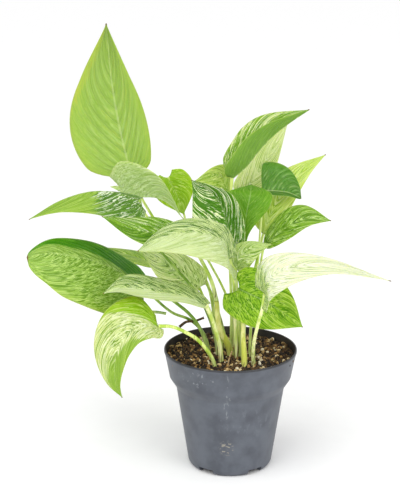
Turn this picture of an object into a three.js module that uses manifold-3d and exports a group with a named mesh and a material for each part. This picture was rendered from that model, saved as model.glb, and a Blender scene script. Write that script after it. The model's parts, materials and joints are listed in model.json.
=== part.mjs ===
// A potted pothos: a tapered nursery pot, its soil, two thick vines, and leaves on their petioles.
// Millimetres, +Z up. The origin is the centre of the pot's underside, where it stands.
// -Y is the front of the plant, +X its right-hand side as seen from the front.
import * as THREE from "three";
import { mergeVertices } from "three/addons/utils/BufferGeometryUtils.js";
import Module from "manifold-3d";

const wasm = await Module();
wasm.setup();

// Pot
const potHeight = 110;
const rimRadius = 60;
const collarRadius = 55.2; // at the collar's lower edge
const collarDepth = 25.5; // from the rim down to that edge
const collarStep = 8.5; // height of the slope from the collar in to the body
const bodyRadius = 49.3; // just under the step
const baseRadius = 38.6; // where the body starts to round in to the base
const baseRounding = 5.5; // height of the rounding
const baseInset = 2.75; // how far the rounding brings the underside's edge in
const potWall = 1.4;
const potFloor = 1.6;
const drainHoles = 5;
const drainWidth = 10;
const drainHeight = 4;
const drainDepth = 9; // how far each drain hole runs in under the floor
const potSides = 60;

// Soil
const headspace = 6; // from the rim down to the soil's edge
const soilCrown = 1.2; // how much the soil rises towards the middle
const crownWidth = 0.6; // how much of the soil's width is level at that height
const soilGap = 0.3; // between the soil and the pot
const rootDepth = 9; // how far a stem goes down into the soil

// Leaves and stems
const plantScale = 1; // the size of the plant in the pot, about the middle of the soil
const leafThickness = 0.9;
const leafRows = 9;
const leafColumns = 6;
const tipHalfWidth = 0.6;
const usualTaper = 1.1; // above 1 draws the tip out to a point, below 1 keeps the blade wide up to it
const lobeSweep = 1.7; // above 1 bends the lobes back more towards their outer ends
const lobeFade = 4; // the higher, the sooner that bend fades towards the tip
const steadiness = 0.8; // how far the blade's cross lines keep parallel where the midrib bends
const usualWidest = 0.3; // where most blades are widest, as a share of the midrib
const socketClearance = 0.35; // round a stem in the soil
const jointGap = 0.4; // between a petiole and its leaf
const blunting = 0.4; // how much shorter a thick petiole stops, as a share of its radius
const stemSides = 7;
const stemStepLength = 9;

const colour = {
  pot: 0x5f626c,
  soil: 0x3d2c1f,
  vine: 0xb9c489,
  petiole: 0xa8c069,
  root: 0x6a4b32,
  leaf: 0x7fa052,
  paleLeaf: 0xc5d3a4,
};

// Every leaf is drawn from the same rule, and these are its own sizes, from the middle of the soil.
// rib: the midrib from the petiole to the tip. face: which way the upper side looks at the petiole, and
// faceTip at the tip. left and right: the two halves, as seen from the petiole with the upper side up,
// each [width, fold, curl]; fold and curl are degrees, positive towards the upper side, at the midrib
// and added by the edge. start: how wide the blade already is at the petiole, as a share of its width.
// lobe: how far the lobes reach back past the petiole. widest: where along the midrib it is widest.
// stem: the petiole's own points from the soil, or from its vine, up. radius: the petiole's half
// thickness. widest, taper and steady stand in for the usual value, and pale picks the paler colour.
const leaves = [
  {
    name: "tall_left",
    rib: [[-91, 40, 163], [-100, 48, 201], [-106, 46, 242], [-109, 32, 293]],
    face: [0.1, 1, 0.1],
    left: [25, 10, 0],
    right: [47, 5, 0],
    start: 0.5,
    lobe: 7,
    stem: [
      [-12, 18], [-13, 18, 12], [-21, 25, 59], [-38, 30, 80], [-57, 34, 97], [-70, 36, 118], [-84, 38, 143],
    ],
    radius: 1.7,
  },
  {
    name: "arching_left",
    rib: [[-96, 16, 145], [-80, 10, 144], [-65, 5, 144], [-53, 2, 138], [-42, 0, 126]],
    face: [0, 0, 1],
    left: [8, 20, 0],
    right: [36, 65, 0],
    start: 0.6,
    lobe: 14,
    stem: [[-4, 14], [-5, 15, 12], [-21, 20, 59], [-40, 22, 80], [-60, 24, 100], [-82, 22, 132]],
    radius: 1.5,
    pale: true,
    widest: 0.15,
    taper: 1.8,
  },
  {
    name: "bright_left",
    rib: [[-56, 24, 158], [-48, 22, 142], [-42, 16, 126]],
    face: [0, -1, 0.4],
    left: [18, 5, 0],
    right: [18, 5, 0],
    start: 0.5,
    lobe: 5,
    stem: [[2, 13], [0, 13, 40], [-24, 17, 90], [-38, 22, 112], [-47, 28, 142]],
    radius: 1.3,
  },
  {
    name: "long_left",
    rib: [[-80, -12, 146], [-100, -22, 155], [-121, -32, 158], [-146, -40, 152], [-172, -45, 137]],
    face: [0, -0.7, 0.7],
    faceTip: [0, 0, 1],
    left: [26, -30, 0],
    right: [13, -40, 0],
    start: 0.6,
    lobe: 5,
    stem: [
      [-11, 0], [-13, -1, 12], [-18, -4, 32], [-29, -8, 58], [-48, -8, 82], [-65, -8, 103], [-76, -10, 128],
    ],
    radius: 1.6,
    widest: 0.25,
  },
  {
    name: "middle_left",
    rib: [[-36, -30, 115], [-61, -46, 125], [-86, -56, 132], [-109, -62, 144]],
    face: [0, -0.5, 1],
    left: [22, 0, 0],
    right: [22, 0, 0],
    start: 0.5,
    lobe: 5,
    stem: [[-13, -15, 56], [-18, -19, 76]],
    radius: 2,
    vine: "left_vine",
  },
  {
    name: "pale_middle",
    rib: [[0, -34, 96], [-9, -48, 116], [-28, -62, 128], [-56, -70, 130], [-79, -76, 119]],
    face: [-0.3, -0.8, 0.6],
    faceTip: [0, -0.4, 1],
    left: [27, -5, -20],
    right: [19, -10, 0],
    start: 0.5,
    lobe: 10,
    stem: [[5, -11], [4, -14, 28], [3, -18, 50], [2, -24, 75]],
    radius: 2.2,
    pale: true,
    taper: 0.7,
  },
  {
    name: "dark_left",
    rib: [
      [-80, -8, 79], [-97, -20, 87], [-113, -35, 99], [-131, -50, 110], [-149, -62, 116], [-169, -72, 112],
    ],
    face: [0, -0.6, 0.8],
    left: [47, -30, 0],
    right: [26, -20, 0],
    start: 0.75,
    lobe: 8,
    stem: [[-17, 4], [-24, 2, 18], [-36, 0, 32], [-53, -4, 41], [-75, -5, 62]],
    radius: 1.6,
    widest: 0.42,
    taper: 0.55,
  },
  {
    name: "small_front_left",
    rib: [[-22, -40, 59], [-40, -52, 71], [-59, -60, 77], [-78, -68, 83], [-93, -74, 86], [-108, -78, 82]],
    face: [0, -0.6, 0.8],
    left: [7, -50, 0],
    right: [16, 0, 0],
    start: 0.3,
    lobe: 5,
    stem: [[-8, -20], [-10, -22, 15], [-16, -30, 40]],
    radius: 2.4,
    pale: true,
    widest: 0.55,
    taper: 1.1,
  },
  {
    name: "low_left",
    rib: [
      [-63, -60, 47], [-76, -70, 51], [-88, -78, 47], [-96, -84, 35], [-99, -88, 20], [-98, -90, 6],
      [-93, -90, -6],
    ],
    face: [0, -1, 0.4],
    left: [14, 0, 0],
    right: [28, 0, 0],
    start: 0.5,
    lobe: 3,
    stem: [[-12, -32], [-17, -36, 9], [-28, -42, 27], [-38, -50, 37], [-52, -58, 46]],
    radius: 2,
    faceTip: [0, -1, 0.2],
    steady: 0.4,
    widest: 0.15,
  },
  {
    name: "back_left",
    rib: [[-66, 45, 70], [-88, 60, 74], [-114, 72, 77], [-136, 80, 77]],
    face: [0, 0.1, 1],
    left: [22, 10, -20],
    right: [22, 10, -20],
    start: 0.4,
    lobe: 4,
    stem: [[-15, -8], [-28, -11, 29], [-38, -12, 43], [-46, -12, 50], [-57, -2, 56], [-63, 18, 60]],
    radius: 1.8,
  },
  {
    name: "inner_left",
    rib: [[-28, 4, 61], [-53, 12, 77], [-81, 18, 92]],
    face: [0, -1, 0.5],
    left: [18, 0, 0],
    right: [18, 0, 0],
    start: 0.5,
    lobe: 3,
    stem: [[-6, 5], [-10, 6, 20], [-20, 6, 42]],
    radius: 1.5,
    pale: true,
  },
  {
    name: "striped_middle",
    rib: [[2, -4, 98], [-3, -2, 121], [-10, 0, 141], [-21, 3, 151], [-35, 5, 160]],
    face: [-0.2, -1, 0.3],
    left: [32, 5, 0],
    right: [18, 30, 0],
    start: 0.4,
    lobe: 3,
    stem: [[8, -7], [7, -6, 20], [4, -4, 60]],
    radius: 1.6,
  },
  {
    name: "plain_middle",
    rib: [[11, 0, 101], [11, 2, 119], [14, 9, 138], [19, 28, 147], [21, 50, 147]],
    face: [0, -1, 0.2],
    faceTip: [0, 0, 1],
    left: [14, 0, 0],
    right: [15, 0, 0],
    start: 0.05,
    widest: 0.75,
    lobe: 0,
    stem: [[8, -1], [9, 0, 30], [10, 1, 70]],
    radius: 1.6,
    steady: 0,
  },
  {
    name: "rounded_right",
    rib: [[36, 18, 142], [47, 28, 150], [59, 36, 151], [70, 44, 143]],
    face: [0, -0.8, 0.6],
    left: [22, 0, 0],
    right: [10, 0, 0],
    start: 0.6,
    lobe: 6,
    stem: [[17, 2], [19, 4, 30], [28, 13, 90], [34, 14, 122]],
    radius: 1.4,
  },
  {
    name: "near_white_right",
    rib: [[27, -62, 76], [29, -70, 93], [47, -76, 104], [79, -84, 108], [129, -92, 97]],
    face: [0, -1, 0.3],
    faceTip: [0, -0.3, 1],
    left: [16, 0, 0],
    right: [20, 0, 0],
    start: 0.8,
    lobe: 6,
    stem: [[20, -27], [19, -36, 20], [22, -50, 45], [25, -58, 61]],
    radius: 2.2,
    pale: true,
  },
  {
    name: "tall_right",
    rib: [[1, 22, 158], [13, 20, 169], [25, 18, 185], [38, 15, 199], [52, 10, 211], [67, 6, 222]],
    face: [-0.8, 0, 0.6],
    left: [26, 60, 0],
    right: [20, 60, 0],
    start: 0.4,
    widest: 0.35,
    lobe: 2,
    stem: [[1, 7], [1, 9, 40], [-1, 18, 110]],
    radius: 1.8,
  },
  {
    name: "yellow_middle",
    rib: [[-2, 36, 136], [-6, 34, 155], [-17, 31, 159], [-32, 28, 154]],
    face: [0, -0.9, 0.4],
    left: [18, 0, 0],
    right: [12, 0, 0],
    start: 0.3,
    lobe: 0,
    stem: [[4, 19], [4, 22, 40], [0, 32, 105]],
    radius: 1.6,
  },
  {
    name: "pale_back",
    rib: [[9, 60, 132], [24, 66, 150], [38, 70, 173], [53, 72, 198]],
    face: [0, -1, 0.4],
    left: [14, 0, 0],
    right: [14, 0, 0],
    start: 0.4,
    lobe: 0,
    stem: [[11, 18], [11, 24, 40], [10, 48, 100]],
    radius: 1.6,
    pale: true,
  },
  {
    name: "pointed_right",
    rib: [[30, 28, 105], [38, 40, 123], [51, 54, 140], [68, 66, 155], [89, 76, 168]],
    face: [0, -0.8, 0.6],
    left: [20, 0, 0],
    right: [14, 0, 0],
    start: 0.2,
    lobe: 0,
    stem: [[12, 10], [14, 14, 30], [23, 24, 76]],
    radius: 1.6,
  },
  {
    name: "bright_right",
    rib: [[29, 4, 101], [47, -6, 119], [66, -12, 130], [86, -18, 129]],
    face: [0, -0.7, 0.7],
    left: [17, 0, 0],
    right: [12, 0, 0],
    start: 0.15,
    widest: 0.4,
    lobe: 0,
    stem: [[17, -6], [18, -8, 30], [24, -2, 70]],
    radius: 1.5,
  },
  {
    name: "small_grey",
    rib: [[4, -14, 85], [8, -15, 98], [19, -16, 105], [35, -18, 108]],
    face: [0, -0.9, 0.5],
    left: [9, 0, 0],
    right: [14, 0, 0],
    start: 0.6,
    lobe: 0,
    stem: [[10, -12], [10, -12, 30], [6, -12, 60]],
    radius: 1.3,
    pale: true,
  },
  {
    name: "heart_right",
    rib: [[6, -30, 71], [26, -36, 63], [45, -42, 53], [61, -48, 42]],
    face: [0, -1, 0.3],
    left: [24, 0, 0],
    right: [26, 0, 0],
    start: 0.6,
    lobe: 9,
    stem: [[11, -21, 39], [9, -25, 56]],
    radius: 1.8,
    vine: "right_vine",
  },
];

// The thick vines come out of the soil, and one petiole carries on from the end of each.
const vines = [
  { name: "left_vine", points: [[2, -2], [-2, -6, 10], [-10, -11, 28], [-13, -15, 55]], radius: 4 },
  { name: "right_vine", points: [[12, -30], [12, -28, 10], [11, -24, 24], [11, -21, 38]], radius: 4 },
];

// Thin roots, and the cut end of a runner
const threads = [
  { name: "anchor_root", points: [[-4, -24], [-3, -20, 3], [-2, -14, 6]], radius: 0.8, rooted: true },
  { name: "dry_root", points: [[-42, 3, 38], [-39, 6, 33], [-44, 8, 28], [-50, 8, 30]], radius: 1 },
  { name: "runner_end", points: [[-78, -14, 44], [-66, -10, 43], [-58, -8, 41]], radius: 1.7 },
];

const soilTop = potHeight - headspace;
const middleOfSoil = new THREE.Vector3(0, 0, soilTop);

// A point of the plant, given from the middle of the soil. Two numbers are a place on the soil.
function inPlant([x, y, z = 0]) {
  return new THREE.Vector3(x, y, z).multiplyScalar(plantScale).add(middleOfSoil);
}

// The pot's outer side from the base up, moved in by a distance
function potSide(inset) {
  return [
    [baseRadius - inset, baseRounding],
    [bodyRadius - inset, potHeight - collarDepth - collarStep],
    [collarRadius - inset, potHeight - collarDepth],
    [rimRadius - inset, potHeight],
  ].map(([radius, height]) => new THREE.Vector2(radius, height));
}

// The radius of a side at a height
function radiusAt(side, height) {
  const upper = side.findIndex((point) => point.y >= height);
  const [low, high] = [side[upper - 1], side[upper]];
  return THREE.MathUtils.mapLinear(height, low.y, high.y, low.x, high.x);
}

// A geometry's closed surface as a solid that can be cut
function solidOf(geometry) {
  const bare = geometry.clone();
  bare.deleteAttribute("normal");
  bare.deleteAttribute("uv");
  const merged = mergeVertices(bare, 1e-4);
  return new wasm.Manifold(new wasm.Mesh({
    numProp: 3,
    vertProperties: new Float32Array(merged.attributes.position.array),
    triVerts: new Uint32Array(merged.index.array),
  }));
}

function geometryOf(solid) {
  const mesh = solid.getMesh();
  const geometry = new THREE.BufferGeometry();
  geometry.setAttribute("position", new THREE.BufferAttribute(mesh.vertProperties, 3));
  geometry.setIndex(new THREE.BufferAttribute(mesh.triVerts, 1));
  geometry.computeVertexNormals();
  return geometry;
}

function latheGeometry(profile) {
  const geometry = new THREE.LatheGeometry(profile, potSides);
  geometry.rotateX(Math.PI / 2);
  return geometry;
}

function potGeometry() {
  const corner = [];
  const cornerSteps = 3;
  for (let step = 0; step <= cornerSteps; step++) {
    const angle = (step / cornerSteps) * (Math.PI / 2);
    const inward = baseInset * (1 - Math.sin(angle));
    const up = baseRounding * (1 - Math.cos(angle));
    corner.push(new THREE.Vector2(baseRadius - inward, up));
  }
  const inside = potSide(potWall).reverse();
  inside[inside.length - 1].y = baseRounding;
  const floorEdge = new THREE.Vector2(baseRadius - baseInset - potWall, potFloor);
  const profile = [
    new THREE.Vector2(0, 0),
    ...corner,
    ...potSide(0).slice(1),
    ...inside,
    floorEdge,
    new THREE.Vector2(0, potFloor),
  ];
  let pot = solidOf(latheGeometry(profile));
  const holeLength = drainDepth + baseRounding;
  for (let hole = 0; hole < drainHoles; hole++) {
    const cutter = new THREE.BoxGeometry(holeLength, drainWidth, drainHeight * 2);
    cutter.translate(baseRadius - drainDepth + holeLength / 2, 0, 0);
    cutter.rotateZ(-Math.PI / 2 + ((hole + 0.5) * 2 * Math.PI) / drainHoles);
    pot = pot.subtract(solidOf(cutter));
  }
  return geometryOf(pot);
}

// A closed tube along smooth points
function tubeGeometry(points, radius) {
  const path = new THREE.CatmullRomCurve3(points, false, "centripetal");
  const section = new THREE.Shape();
  for (let side = 0; side < stemSides; side++) {
    const angle = (side / stemSides) * 2 * Math.PI;
    const place = [radius * Math.cos(angle), radius * Math.sin(angle)];
    if (side === 0) section.moveTo(...place);
    else section.lineTo(...place);
  }
  const steps = Math.max(4, Math.round(path.getLength() / stemStepLength));
  return new THREE.ExtrudeGeometry(section, { steps, bevelEnabled: false, extrudePath: path });
}

// The points of a stem that starts in the soil, going extra deep for its socket
function rootedPoints(points, extraDepth = 0) {
  const root = inPlant(points[0]);
  const below = root.clone().setZ(soilTop - rootDepth - extraDepth);
  return [below, ...points.slice(1).map(inPlant)];
}

function soilGeometry(rootedStems) {
  const side = potSide(potWall + soilGap).filter((point) => point.y < soilTop);
  const edgeRadius = radiusAt(potSide(potWall + soilGap), soilTop);
  const bottom = potFloor + soilGap;
  const profile = [
    new THREE.Vector2(0, bottom),
    new THREE.Vector2(baseRadius - baseInset - potWall - soilGap, bottom),
    ...side,
    new THREE.Vector2(edgeRadius, soilTop),
    new THREE.Vector2(edgeRadius * crownWidth, soilTop + soilCrown),
    new THREE.Vector2(0, soilTop + soilCrown),
  ];
  let soil = solidOf(latheGeometry(profile));
  for (const { points, radius } of rootedStems) {
    const socket = tubeGeometry(rootedPoints(points, socketClearance), radius + socketClearance);
    soil = soil.subtract(solidOf(socket));
  }
  return geometryOf(soil);
}

// Half the blade's width along the midrib, as a share of its greatest half width
function outline(along, { start, widest = usualWidest, taper = usualTaper }) {
  if (along < widest) return start + (1 - start) * Math.sqrt(1 - (1 - along / widest) ** 2);
  return Math.cos((Math.PI / 2) * ((along - widest) / (1 - widest))) ** taper;
}

// The blade's surface: along from 0 at the petiole to 1 at the tip, across from -1 to 1
function bladePoint(leaf, rib, along, across) {
  const middle = rib.getPoint(along);
  const chord = rib.getPoint(1).sub(rib.getPoint(0)).normalize();
  const forward = rib.getTangent(along).lerp(chord, leaf.steady ?? steadiness).normalize();
  const upward = new THREE.Vector3(...leaf.face);
  upward.lerp(new THREE.Vector3(...(leaf.faceTip ?? leaf.face)), along);
  upward.addScaledVector(forward, -upward.dot(forward)).normalize();
  const sideways = new THREE.Vector3().crossVectors(forward, upward);
  const [width, fold, curl] = across < 0 ? leaf.left : leaf.right;
  const reach = Math.abs(across);
  const half = Math.max(width * plantScale * outline(along, leaf), tipHalfWidth);
  const slope = THREE.MathUtils.degToRad(fold + (curl * reach) / 2);
  const back = leaf.lobe * plantScale * reach ** lobeSweep * (1 - along) ** lobeFade;
  return middle
    .addScaledVector(sideways, Math.sign(across) * reach * half * Math.cos(slope))
    .addScaledVector(upward, reach * half * Math.sin(slope))
    .addScaledVector(forward, -back);
}

function ribOf(leaf) {
  return new THREE.CatmullRomCurve3(leaf.rib.map(inPlant), false, "centripetal");
}

// A thin box bent onto the blade's surface, notched where its petiole comes in. The notch can cut a
// scrap off the base, so only the largest piece is kept.
function leafGeometry(leaf) {
  const rib = ribOf(leaf);
  const geometry = new THREE.BoxGeometry(2, 1, 1, leafColumns, leafRows, 1);
  const places = geometry.attributes.position;
  const nudge = 0.01;
  for (let i = 0; i < places.count; i++) {
    const across = places.getX(i);
    const along = places.getY(i) + 0.5;
    const point = bladePoint(leaf, rib, along, across);
    const ahead = bladePoint(leaf, rib, Math.min(along + nudge, 1), across)
      .sub(bladePoint(leaf, rib, Math.max(along - nudge, 0), across));
    const beside = bladePoint(leaf, rib, along, Math.min(across + nudge, 1))
      .sub(bladePoint(leaf, rib, along, Math.max(across - nudge, -1)));
    const normal = beside.cross(ahead).normalize();
    point.addScaledVector(normal, places.getZ(i) * leafThickness);
    places.setXYZ(i, point.x, point.y, point.z);
  }
  const notch = tubeGeometry(petiolePoints(leaf), leaf.radius + jointGap);
  const pieces = solidOf(geometry).subtract(solidOf(notch)).decompose();
  const [blade] = pieces.sort((one, other) => other.volume() - one.volume());
  return geometryOf(blade);
}

// A petiole stops just short of its leaf.
function petiolePoints(leaf) {
  const lower = leaf.vine ? leaf.stem.map(inPlant) : rootedPoints(leaf.stem);
  const base = inPlant(leaf.rib[0]);
  const arriving = lower.at(-1).clone().sub(base).normalize();
  const shortBy = jointGap + leafThickness / 2 + leaf.radius * blunting;
  return [...lower, base.addScaledVector(arriving, shortBy)];
}

const plant = new THREE.Group();

function add(name, geometry, paint, roughness) {
  const mesh = new THREE.Mesh(geometry, new THREE.MeshStandardMaterial({ color: paint, roughness }));
  mesh.name = name;
  plant.add(mesh);
}

const rootedStems = [
  ...vines,
  ...threads.filter((thread) => thread.rooted),
  ...leaves.filter((leaf) => !leaf.vine).map((leaf) => ({ points: leaf.stem, radius: leaf.radius })),
];

add("pot", potGeometry(), colour.pot, 0.55);
add("soil", soilGeometry(rootedStems), colour.soil, 0.95);
for (const vine of vines) {
  add(vine.name, tubeGeometry(rootedPoints(vine.points), vine.radius), colour.vine, 0.5);
}
for (const thread of threads) {
  const points = thread.rooted ? rootedPoints(thread.points) : thread.points.map(inPlant);
  add(thread.name, tubeGeometry(points, thread.radius), colour.root, 0.7);
}
for (const leaf of leaves) {
  add(`petiole_${leaf.name}`, tubeGeometry(petiolePoints(leaf), leaf.radius), colour.petiole, 0.5);
  add(`leaf_${leaf.name}`, leafGeometry(leaf), leaf.pale ? colour.paleLeaf : colour.leaf, 0.4);
}

export default plant;
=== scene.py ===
"""A potted pothos: nursery pot, potting mix, vines, petioles and marbled leaves, built over its CAD frame."""

import json
import math

import bmesh
import bpy
from mathutils import Matrix, Vector, noise


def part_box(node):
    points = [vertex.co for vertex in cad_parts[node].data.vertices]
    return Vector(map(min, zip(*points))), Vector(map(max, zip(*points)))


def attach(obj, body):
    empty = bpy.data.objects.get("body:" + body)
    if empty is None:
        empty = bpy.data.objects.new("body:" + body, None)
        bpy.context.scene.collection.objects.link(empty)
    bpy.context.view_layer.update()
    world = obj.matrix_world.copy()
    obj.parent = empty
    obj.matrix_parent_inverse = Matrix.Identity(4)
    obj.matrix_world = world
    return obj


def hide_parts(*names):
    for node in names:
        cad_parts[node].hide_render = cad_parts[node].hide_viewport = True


bl_info = {
    "name": "Potted Pothos",
    "version": (1, 0, 0),
    "blender": (4, 5, 0),
    "location": "3D View > Sidebar > Pothos",
    "description": "Builds a marbled pothos in a nursery pot, piece by piece",
    "category": "Add Mesh",
}

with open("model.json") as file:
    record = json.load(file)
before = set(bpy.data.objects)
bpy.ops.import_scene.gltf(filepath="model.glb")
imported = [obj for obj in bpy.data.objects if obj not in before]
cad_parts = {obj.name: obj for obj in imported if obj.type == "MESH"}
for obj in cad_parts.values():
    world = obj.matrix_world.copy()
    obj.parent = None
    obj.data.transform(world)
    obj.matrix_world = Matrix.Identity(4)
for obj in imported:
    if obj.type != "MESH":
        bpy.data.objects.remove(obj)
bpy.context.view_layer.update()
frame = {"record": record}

MM = 0.001
CM = 0.01
ROOT = "root"

# The plant's own sizes are in millimetres from the middle of the soil, and Blender's in metres.
_, POT_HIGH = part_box("pot")
SOIL_LOW, SOIL_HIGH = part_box("soil")
RIM_RADIUS = POT_HIGH[0]
POT_HEIGHT = POT_HIGH[2]
SOIL_TOP = 104 * MM
ROOT_DEPTH = 9 * MM

# The pot's outer side, as (radius, height): the top of the base's rounding, of the body and of the step
BASE_ROUNDING = 5.5 * MM
BASE_INSET = 4.2 * MM
BASE_STEPS = 5
BASE_SIDE = (38.6 * MM, BASE_ROUNDING)
BODY_TOP = (49.3 * MM, 76 * MM)
COLLAR_LOW = (55.2 * MM, 84.5 * MM)
POT_WALL = 1.4 * MM
POT_FLOOR = 1.6 * MM
POT_LIP = 0.7 * MM

# Where the profile stops short of the middle, and a flat face closes it
CAP_RADIUS = 2 * MM

DRAIN_COUNT = 5
DRAIN_RADIUS = 37 * MM
DRAIN_CUTTER = (15 * MM, 15 * MM, 10 * MM)

# The soil's relief, and the rings and sides of its surface
SOIL_RINGS = 34
SOIL_SIDES = 120
SOIL_DOME = 0.8 * MM

# In millimetres
LEAF_THICKNESS = 0.9
TIP_HALF_WIDTH = 0.5

# The blade's tone against its colour in full light, and the usual values in the leaves' own sizes
LEAF_TONE = 0.78
STEADINESS = 0.8
USUAL_WIDEST = 0.3
USUAL_TAPER = 1.1
USUAL_FLARE = 0.5

# How far the lobes sweep back, how soon that fades towards the tip, and how the base's corners are rounded
LOBE_SWEEP = 1.7
LOBE_FADE = 4
CORNER_CUT = 0.35
CORNER_LENGTH = 0.07

# Columns crowd towards the midrib. Each skin is this share of the thickness, and loses the second at the edge
COLUMN_CROWDING = 1.35
SKIN_SHARE = 0.32
EDGE_THINNING = 0.2

# Above 1, side veins bend more towards the tip as they near the edge
VEIN_CURVE = 1.2

# The midrib's radius underneath, as shares of the petiole's: at the petiole, and lost by the tip
RIB_SHARE = 0.62
RIB_TAPER = 0.5
CHANNEL_DEPTH = 0.3

# How closely the waves along a leaf's edge follow each other, in radians to the leaf's length
EDGE_WAVES = 9

STEM_SIDES = 16
STEM_STEP = 1.5 * MM
ROOT_STEP = 0.7 * MM

CAMERA_PLACE = (-0.0275, -1.122, 0.518)
CAMERA_TILT = 74.25
CAMERA_LENS = 94.8
SENSOR_WIDTH = 36
LIGHTS_AIM = (0, 0, 0.2)

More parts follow.
